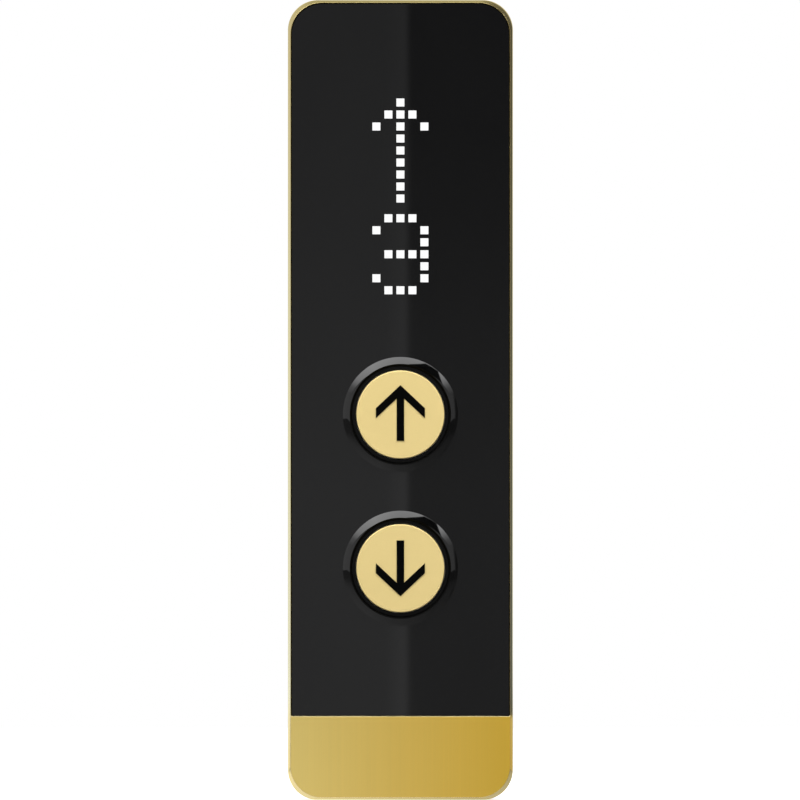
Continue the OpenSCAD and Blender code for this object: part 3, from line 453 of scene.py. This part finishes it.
# Painted sheen: the gold runs from pale on the left to deep on the right.
painted_sheen_dye = colour_ramp(tree, spread(tree, x, cad_box[0][0], cad_box[1][0]), (0.0, (0.92, 0.715, 0.232)),
                  (0.5, (0.905, 0.634, 0.145)), (1.0, (0.90, 0.582, 0.075)))
brushing = grain(shader, (2600, 2600, 9), detail=3.0)
strokes = spread(tree, brushing, 0.3, 0.7, 0.984, 1.014)
tree.links.new(mix(tree, 1.0, painted_sheen_dye, strokes, "RGBA", "MULTIPLY"), shader.inputs["Base Color"])
roughness_by(shader, brushing, 0.4, 0.46)
relief_by(shader, brushing, 1e-6)
# Painted highlight: the upward bevel is tinted a paler, whiter gold than the rest of the bar.
painted_highlight_gold = (0.76, 0.65, 0.34)
cut_bright_with_painted_tint(shader, "Z", 0.5, 0.9, 0.2, (0.0, painted_highlight_gold), (1.0, painted_highlight_gold))

low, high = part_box("bottom_trim")
trim_rise, trim_back, trim_front, stud_end = 0.08, 20.3, -low[1] / MM, -high[1] / MM
trim_top = high[2] / MM + trim_rise
trim_gap, trim_wall, trim_skin, trim_bevel, side_bevel = 0.02, 3.0, 1.1, 0.5, 0.05
inset, drop, depth = np.array([
    (trim_wall, trim_wall, trim_front - trim_skin), (trim_wall, trim_wall, trim_back), (0, 0, trim_back),
    (0, 0, trim_front - trim_bevel), (0, trim_bevel - side_bevel, trim_front - side_bevel),
    (side_bevel, trim_bevel, trim_front)]).T[:, :, None]
# The bar takes the lower half of the outline inside the rim, and a top edge at its own height.
edge, steps = rim_w + trim_gap + inset, 24
x, z = (np.pad(half[:, 2 * steps:], ((0, 0), (1, 1)), "edge") for half in rounded_outline(
    casing_w - 2 * edge, casing_h - 2 * edge, face_r + rim_w - edge, steps))
z[:, [0, -1]] = trim_top - drop
bar = MM * np.stack([x, -depth + 0 * x, z], -1)
surfaces = [(bar, capped_faces(bar))]
stud_x, stud_z, stud_r, stud_round, stud_overlap = 28.0, -143.0, 2.0, 0.4, 0.1
stud_root = trim_front - trim_skin + stud_overlap
stud_profile = soften([(0, stud_end), (stud_r, stud_end), (stud_r, stud_root), (0, stud_root)],
                      (0, stud_round, 0, 0))
for side in (-1, 1):
    stud = turned(stud_profile, side * stud_x, stud_z, steps=48)
    surfaces.append((stud, ring_faces(stud, False)))
make_piece("gold_trim", surfaces, gold_bar, "housing", "gold_anodised", "bottom_trim")
dress(nylon, "trim_clips")


# Collars: turned rings, gloss black outside and blackened matt inside the crest, pushed through the
# face from the front and drawn tight by a nylon ring nut behind the carrier plate. The crest guards
# the cap from a side knock.
def bowed(start, middle, end, steps=14):
    """Points of the curve (1-t)^2 start + 2t(1-t) middle + t^2 end, which leaves start and meets
    end along the lines through middle."""
    t = np.linspace(0, 1, steps)[:, None]
    return (1 - t) ** 2 * np.array(start) + 2 * t * (1 - t) * np.array(middle) + t * t * np.array(end)


collar_black, shader = new_finish("collar_black", 0.12)
turning = grain(shader, (700, 700, 700), detail=3.0)
colour_by(shader, turning, (0.0015, 0.0015, 0.0016), (0.0030, 0.0030, 0.0030))
roughness_by(shader, turning, 0.035, 0.07)
collar_matte, shader = new_finish("collar_matte", 0.6)
blacking = grain(shader, (1800, 1800, 1800))
colour_by(shader, blacking, (0.0012, 0.0012, 0.0012), (0.0026, 0.0026, 0.0026))
roughness_by(shader, blacking, 0.55, 0.7)
shader.inputs["Specular IOR Level"].default_value = 0.05
dress(nylon, "up_ring_nut", "down_ring_nut")

lip_r, crest_r, shoulder_r, barrel_r, bore_r = 19.5, 20.25, 21.61, 21.2, 20.0
collar_edge, shoulder_drop, lip_drop, lip_depth, barrel_back = 0.35, 0.485, 0.8, 0.6, 14.0
lip_rounds, skirt_rounds, bend = (0.1, 0.1, 0.2, 0), (0, 0.05, 0.05, 0.2, 0.2), 6
gloss_from = crest_r - 0.02
face_front = -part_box("face_plate")[0][1] / MM
lip_back, skirt_front = face_front - lip_depth, face_front + collar_edge
for side in ("up", "down"):
    low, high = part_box(side + "_collar")
    button_z, collar_r, crest = (low[2] + high[2]) / 2 / MM, (high[0] - low[0]) / 2 / MM, -low[1] / MM
    lip = soften([(bore_r, lip_back), (lip_r, lip_back), (lip_r, crest - lip_drop), (crest_r, crest)],
                 lip_rounds, bend)[:-bend]
    slope = bowed((crest_r, crest), (shoulder_r, crest - shoulder_drop), (collar_r, skirt_front))
    skirt = soften([(collar_r, skirt_front), (collar_r, face_front), (barrel_r, face_front),
                    (barrel_r, barrel_back), (bore_r, barrel_back)], skirt_rounds, bend)[bend:]
    collar = turned(np.concatenate([lip, slope, skirt]), 0, button_z, steps=180)
    piece = make_piece(side + "_button_collar", [(collar, ring_faces(collar))], collar_black, "housing",
                       "collar_black", side + "_collar")
    piece.data.materials.append(collar_matte)
    middles = np.empty(3 * len(piece.data.polygons))
    piece.data.polygons.foreach_get("center", middles)
    radii = np.hypot(middles[0::3], middles[2::3] - MM * button_z) / MM
    piece.data.polygons.foreach_set("material_index", (radii < gloss_from).astype(np.int32))


# Light rings: smoked light guides inside the collars, dark until a call is registered, with four
# lamps behind each. They are moulded, and the base holds them in the collar's barrel.
smoked_ring, shader = new_finish("smoked_ring", 0.3)
smoke = grain(shader, (260, 260, 260), detail=3.0)
colour_by(shader, smoke, (0.0015, 0.0015, 0.0015), (0.0030, 0.0030, 0.0030))
roughness_by(shader, smoke, 0.25, 0.38)
shader.inputs["Specular IOR Level"].default_value = 0.12
lamp, shader = new_finish("lamp", 0.12)
colour_by(shader, grain(shader, (400, 400, 400)), (0.72, 0.72, 0.66), (0.84, 0.84, 0.79))
dress(lamp, "up_lamps", "down_lamps")

ring_in_r, ring_out_r, ring_tail_r, ring_bore_r = 18.0, 19.4, 19.9, 19.1
ring_shoulder, ring_round = 20.9, 0.15
for side in ("up", "down"):
    low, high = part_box(side + "_light_ring")
    button_z, ring_back, ring_front = (low[2] + high[2]) / 2 / MM, -high[1] / MM, -low[1] / MM
    guide = turned(soften([
        (ring_in_r, ring_front), (ring_out_r, ring_front), (ring_out_r, lip_back), (ring_tail_r, lip_back),
        (ring_tail_r, ring_back), (ring_bore_r, ring_back), (ring_bore_r, ring_shoulder),
        (ring_in_r, ring_shoulder)], ring_round), 0, button_z)
    make_piece(side + "_light_guide", [(guide, ring_faces(guide))], smoked_ring, "housing", "smoked_ring",
               side + "_light_ring")


# Button works: the moulded black base that snaps into the collar's barrel, the screws that hold its
# board, and the nylon plunger that the cap is snapped on, with the switch's pin under it.
base_black = moulded("base_black", (0.012, 0.012, 0.012), (0.022, 0.022, 0.022), 0.5)
dress(base_black, "up_base", "down_base")
dress(nylon, "up_plunger", "down_plunger", "up_switch_pin", "down_switch_pin")
dress(screw_steel, "up_base_screws", "down_base_screws")


# Return springs: bright drawn wire wound into a compression spring with closed ends, between the
# base's floor and the plunger's head. A press shortens it by the button's travel; here it is built
# once, at the length of the imported solid, and the travel is not used.
def coil(coil_r, wire_r, turns, closed_rise, seat, head, z, steps=48, sides=12):
    """A wire of radius w wound at radius R: at turn t and angle b round the wire, the point lies
    R + w cos b from the axis at angle 2 pi t, at depth d(t) + w sin b. The depth d rises evenly,
    apart from the closed first and last turn, where it rises little."""
    turn = np.linspace(0, turns, int(turns * steps) + 1)[:, None]
    b = np.linspace(0, 2 * np.pi, sides, endpoint=False)[None, :]
    start, end = seat + wire_r, head - wire_r
    depth = np.interp(turn, (0, 1, turns - 1, turns), (start, start + closed_rise, end - closed_rise, end))
    r, a = coil_r + wire_r * np.cos(b), 2 * np.pi * turn
    return MM * np.stack([r * np.cos(a), -depth - wire_r * np.sin(b), z + r * np.sin(a)], -1)


spring_wire, shader = new_finish("spring_wire", 0.22, metallic=1.0)
drawn = grain(shader, (1600, 1600, 1600))
colour_by(shader, drawn, (0.52, 0.53, 0.55), (0.62, 0.63, 0.65))
roughness_by(shader, drawn, 0.16, 0.3)

coil_r, wire_r, turns, closed_rise, travel = 7.0, 0.4, 4.5, 0.85, 1.5
for side in ("up", "down"):
    low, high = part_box(side + "_spring")
    button_z, seat, head = (low[2] + high[2]) / 2 / MM, -high[1] / MM, -low[1] / MM
    wound = coil(coil_r, wire_r, turns, closed_rise, seat, head, button_z)
    spring = make_piece(side + "_return_spring", [(wound, capped_faces(wound))], spring_wire, "housing",
                        "spring_wire", side + "_spring")
    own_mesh(spring)


# Caps: drawn aluminium cups, fine blasted and pale gold anodised, snapped over the plunger's head.
# They slide inside the light ring.
cap_gold, shader = new_finish("cap_gold", 0.5, metallic=0.35)
blasting = grain(shader, (4200, 4200, 4200))
colour_by(shader, blasting, (0.775, 0.608, 0.245), (0.833, 0.657, 0.284))
roughness_by(shader, blasting, 0.44, 0.56)
relief_by(shader, blasting, 4e-6)

cap_t, skirt_t, cap_bevel = 1.2, 1.0, 0.22
cap_rounds = (0, 0.15, 0.15, 0.2, 0.2, 0.2, 0)
for side in ("up", "down"):
    low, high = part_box(side + "_cap")
    button_z, cap_r = (low[2] + high[2]) / 2 / MM, (high[0] - low[0]) / 2 / MM
    skirt_end, cap_front = -high[1] / MM, -low[1] / MM
    cup = turned(soften([
        (0, cap_front), (cap_r - cap_bevel, cap_front), (cap_r, cap_front - cap_bevel), (cap_r, skirt_end),
        (cap_r - skirt_t, skirt_end), (cap_r - skirt_t, cap_front - cap_t), (0, cap_front - cap_t)],
        cap_rounds), 0, button_z)
    make_piece(side + "_button_cap", [(cup, ring_faces(cup, False))], cap_gold, side + "_button",
               "cap_gold", side + "_cap")


# Arrows: matte black inlays pressed into a pocket in each cap, standing proud so that they can be
# felt. The down arrow is the same piece turned round.
def drawn_in(outline, amounts):
    """Rows of an outline drawn in: each corner moves along (n1 + n2) / (1 + n1.n2), where n1 and n2
    are the inward normals of its two sides, so that all sides move by the same amount."""
    along = np.roll(outline, -1, 0) - outline
    n2 = np.stack([along[:, 1], -along[:, 0]], -1) / np.linalg.norm(along, axis=1, keepdims=True)
    n1 = np.roll(n2, 1, 0)
    slide = (n1 + n2) / (1 + (n1 * n2).sum(1, keepdims=True))
    return outline[None] + np.array(amounts)[:, None, None] * slide[None]


arrow_black, shader = new_finish("arrow_black", 0.6)
inlay = grain(shader, (1500, 1500, 1500), detail=3.0)
colour_by(shader, inlay, (0.0008, 0.0008, 0.0008), (0.0018, 0.0018, 0.0018))
roughness_by(shader, inlay, 0.5, 0.7)
relief_by(shader, inlay, 8e-6)
shader.inputs["Specular IOR Level"].default_value = 0.02

arrow_half_w, arrow_stroke, arrow_head, arrow_slope = 9.8, 3.0, 4.0, 0.94
arrow_edge, arrow_proud, arrow_sink = 0.12, 0.3, 0.3
for side, turn, body in (("up", 1, "up_button"), ("down", -1, "down_button")):
    low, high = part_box(side + "_arrow")
    tip, middle, arrow_front = (high[2] - low[2]) / 2 / MM, (low[2] + high[2]) / 2 / MM, -low[1] / MM
    half, wing = arrow_stroke / 2, tip - arrow_slope * arrow_half_w
    crotch = tip - arrow_head - arrow_slope * half
    outline = np.array([
        (0, tip), (arrow_half_w, wing), (arrow_half_w, wing - arrow_head), (half, crotch), (half, -tip),
        (-half, -tip), (-half, crotch), (-arrow_half_w, wing - arrow_head), (-arrow_half_w, wing)])
    t = np.linspace(0, np.pi / 2, 4)
    rows = drawn_in(outline, np.concatenate([[0], arrow_edge * (1 - np.cos(t))]))
    depth = np.concatenate([[arrow_front - arrow_proud - arrow_sink],
                            arrow_front - arrow_edge * (1 - np.sin(t))])
    points = MM * np.stack([turn * rows[..., 0], -depth[:, None] + 0 * rows[..., 0],
                            turn * rows[..., 1] + middle], -1)
    make_piece(side + "_arrow_inlay", [(points, capped_faces(points))], arrow_black, body, "arrow_black",
               side + "_arrow")


# Floor: a plain pale sheet under the panel's foot. The camera sees it white but for the panel's
# shadow. To gloss it glows most near the panel and to the left, and is dim at the far right.
def stage_sheet(name, corners, finish):
    """A flat sheet through four corner points."""
    mesh = bpy.data.meshes.new(name)
    mesh.from_pydata(corners, [], [(0, 1, 2, 3)])
    mesh.materials.append(finish)
    sheet = bpy.data.objects.new(name, mesh)
    bpy.context.scene.collection.objects.link(sheet)
    return sheet


def blank_finish(name):
    """A material with an empty node tree, and the tree."""
    finish = bpy.data.materials.new(name)
    finish.use_nodes = True
    finish.node_tree.nodes.clear()
    return finish, finish.node_tree


def grey_ramp(tree, value, *stops):
    """A grey that drifts with a value through (position, grey) stops, in rising order."""
    return colour_ramp(tree, value, *((position, (grey, grey, grey)) for position, grey in stops))


floor_half_w, floor_front, floor_back, floor_gap, pool_y = 2.0, -1.2, 1.3, 0.0002, -0.02
floor_z = cad_box[0][2] - floor_gap
pale_floor, tree = blank_finish("pale_floor")
place = add_node(tree, "TexCoord").outputs["Object"]
x, y, z = parts_of(tree, place)
# Gloss sees a pool of light round the panel, bright beside and behind it and stronger on the left.
# Near the panel's plane it falls off at the far right.
from_pool = add_node(tree, "Mapping", {"Vector": place, "Location": (0, -pool_y, -floor_z)})
away = add_node(tree, "VectorMath", {0: from_pool.outputs["Vector"]}, operation="LENGTH").outputs["Value"]
pool = grey_ramp(tree, away, (0.0, 0.44), (0.09, 0.45), (0.25, 0.36), (0.5, 0.15), (1.0, 0.14))
level = arithmetic(tree, "MAXIMUM", pool, spread(tree, y, -0.03, -0.024, 0.0, 0.85))
level = arithmetic(tree, "MULTIPLY", level, spread(tree, x, -0.06, 0.06, 1.25, 0.6))
least = spread(tree, y, -0.1, -0.05, 1.0, 0.2)
level = arithmetic(tree, "MULTIPLY", level, spread(tree, x, 0.1, 0.2, 1.0, least))
paper = add_node(tree, "BsdfDiffuse", {"Color": (0.8, 0.8, 0.8, 1)}).outputs[0]
glow = add_node(tree, "Emission", {"Strength": 0.6}).outputs[0]
seen = add_node(tree, "AddShader", {0: paper, 1: glow}).outputs[0]
felt = add_node(tree, "BsdfDiffuse", {"Color": (0.42, 0.42, 0.42, 1)}).outputs[0]
mirrored = add_node(tree, "Emission", {"Strength": level}).outputs[0]
path = add_node(tree, "LightPath").outputs
unseen = add_node(tree, "MixShader", {0: path["Is Glossy Ray"], 1: felt, 2: mirrored}).outputs[0]
whole = add_node(tree, "MixShader", {0: path["Is Camera Ray"], 1: unseen, 2: seen}).outputs[0]
add_node(tree, "OutputMaterial", {"Surface": whole})
stage_sheet("floor", [
    (-floor_half_w, floor_front, floor_z), (floor_half_w, floor_front, floor_z),
    (floor_half_w, floor_back, floor_z), (-floor_half_w, floor_back, floor_z)], pale_floor)


# Foot card: a low pale gold card that stands on the floor to the right of the panel, where the rim
# mirrors it beside the trim.
def glowing_card(name, corners, finish, strength, colour=(1.0, 1.0, 1.0, 1.0)):
    """A sheet that only gloss sees, glowing with this strength."""
    tree = finish.node_tree
    glow = add_node(tree, "Emission", {"Color": colour, "Strength": strength}).outputs[0]
    add_node(tree, "OutputMaterial", {"Surface": glow})
    card = stage_sheet(name, corners, finish)
    card.visible_camera = card.visible_diffuse = card.visible_shadow = False


card_x, card_back, card_front, card_below_trim, card_level = 0.12, 0.05, -0.045, 0.002, 0.6
card_top = MM * trim_top - card_below_trim
foot_card, tree = blank_finish("foot_card")
glowing_card("foot_card", [
    (card_x, card_back, floor_z), (card_x, card_front, floor_z), (card_x, card_front, card_top),
    (card_x, card_back, card_top)], foot_card, card_level, (1.0, 0.82, 0.38, 1))


# Room: white to the camera and an even grey to matt surfaces. Gloss sees it brighter on the left and
# dark at the far right, dimmer straight above, and evenly pale behind the panel.
room = bpy.data.worlds.new("room")
bpy.context.scene.world = room
room.use_nodes = True
tree = room.node_tree
tree.nodes.clear()
matt_level, behind_level, camera_level = 0.5, 0.8, 1.0
x, y, z = parts_of(tree, add_node(tree, "TexCoord").outputs["Generated"])
across = spread(tree, x, -1.0, 1.0)
before = grey_ramp(tree, across, (0.0, 0.85), (0.5, 0.75), (0.94, 0.62), (0.97, 0.1), (1.0, 0.05))
beside = grey_ramp(tree, across, (0.0, 0.83), (0.146, 0.72), (0.29, 0.68), (0.5, 0.75), (0.6, 0.5),
                   (0.74, 0.22), (1.0, 0.125))
above = grey_ramp(tree, z, (0.0, 1.0), (0.86, 1.0), (0.95, 0.8), (1.0, 0.74))
around = mix(tree, spread(tree, y, -0.2, -0.1), before, beside)
around = mix(tree, spread(tree, y, 0.1, 0.25), around, behind_level)
mirrored = arithmetic(tree, "MULTIPLY", around, above)
path = add_node(tree, "LightPath").outputs
by_gloss = arithmetic(tree, "MAXIMUM", path["Is Glossy Ray"], path["Is Transmission Ray"])
level = mix(tree, by_gloss, matt_level, mirrored)
level = mix(tree, path["Is Camera Ray"], level, camera_level)
back = add_node(tree, "Background", {"Color": (1, 1, 1, 1), "Strength": level}).outputs[0]
add_node(tree, "OutputWorld", {"Surface": back})


# Overhead softbox: one broad soft lamp above and in front of the panel. Gloss sees it as a long
# sheet that fades at both ends, with a dark wedge painted into its glow at the upper right, standing in for
# a flag.
lamp_w, lamp_d, lamp_y, lamp_z, lamp_level = 2.6, 0.7, -0.55, 0.98, 4.8
softbox = bpy.data.lights.new("softbox", "AREA")
softbox.shape = "RECTANGLE"
softbox.size, softbox.size_y = lamp_w, lamp_d
softbox.energy = lamp_level * math.pi * lamp_w * lamp_d
softbox_lamp = bpy.data.objects.new("softbox", softbox)
softbox_lamp.location = (0, lamp_y, lamp_z)
softbox_lamp.visible_camera = softbox_lamp.visible_glossy = False
bpy.context.scene.collection.objects.link(softbox_lamp)

cloth_half_w, cloth_back, cloth_front, cloth_z, cloth_level = 2.4, -0.14, -1.5, 1.0, 5.4
lamp_cloth, tree = blank_finish("lamp_cloth")
x, y, z = parts_of(tree, add_node(tree, "TexCoord").outputs["Object"])
fade = grey_ramp(tree, spread(tree, x, -cloth_half_w, cloth_half_w), (0.0, 0.15), (0.14, 0.26), (0.25, 0.7),
                 (0.38, 0.95), (0.5, 0.8), (0.7, 0.8), (0.74, 0.75), (0.83, 0.33), (0.88, 0.2), (1.0, 0.12))
# The wedge lies between two slanting edges, in front of a hem that stays lit.
lit = spread(tree, y, -0.31, -0.25)
for lean, start, end in ((-0.385, 0.62, 0.58), (0.42, 0.74, 0.80)):
    tilted = arithmetic(tree, "MULTIPLY_ADD", y, lean, x)
    lit = arithmetic(tree, "MAXIMUM", lit, spread(tree, tilted, start, end))
level = arithmetic(tree, "MULTIPLY", arithmetic(tree, "MULTIPLY", lit, fade), cloth_level)
glowing_card("lamp_cloth", [
    (-cloth_half_w, cloth_front, cloth_z), (cloth_half_w, cloth_front, cloth_z),
    (cloth_half_w, cloth_back, cloth_z), (-cloth_half_w, cloth_back, cloth_z)], lamp_cloth, level)


# Dark screen: a small dark sheet far in front of the panel, which the face mirrors as its black,
# with a paler left half and a streak along the edge between the two.
screen_y, edge_x, half_w, half_h = -2.0, 0.0045, 0.09, 0.24
step = 0.5 + edge_x / half_w / 2
rise, peak, drop = step - 0.07, step - 0.012, step + 0.006
dark_screen, tree = blank_finish("dark_screen")
x, y, z = parts_of(tree, add_node(tree, "TexCoord").outputs["Object"])
down, across = spread(tree, z, half_h, -half_h), spread(tree, x, -half_w, half_w)
base = grey_ramp(tree, down, (0.0, 0.10), (0.2, 0.13), (0.6, 0.28), (1.0, 0.29))
left = grey_ramp(tree, across, (0.0, 0.2), (rise, 0.22), (peak, 0.26), (drop, 0.0), (1.0, 0.0))
streak = grey_ramp(tree, across, (0.0, 0.0), (rise, 0.0), (peak, 0.16), (drop, 0.0), (1.0, 0.0))
sheen = arithmetic(tree, "MULTIPLY_ADD", streak, down, left)
glowing_card("dark_screen", [
    (-half_w, screen_y, -half_h), (half_w, screen_y, -half_h), (half_w, screen_y, half_h),
    (-half_w, screen_y, half_h)], dark_screen, arithmetic(tree, "ADD", sheen, base))


# Camera: straight in front at the panel's middle, far away behind a long lens, so that the panel
# fills the frame's height and shows no sides.
distance, sensor = 6.0, 36.0
view = bpy.data.cameras.new("camera")
view.sensor_width = sensor
front_y, panel_h = -MM * casing_front, MM * casing_h
view.lens = sensor * distance / panel_h
view.shift_x = -0.0005
view.clip_end = 40.0
camera = bpy.data.objects.new("camera", view)
camera.location = (0, front_y - distance, 0)
camera.rotation_euler = (math.pi / 2, 0, 0)
bpy.context.scene.collection.objects.link(camera)
bpy.context.scene.camera = camera
bpy.context.scene.view_settings.view_transform = "Standard"
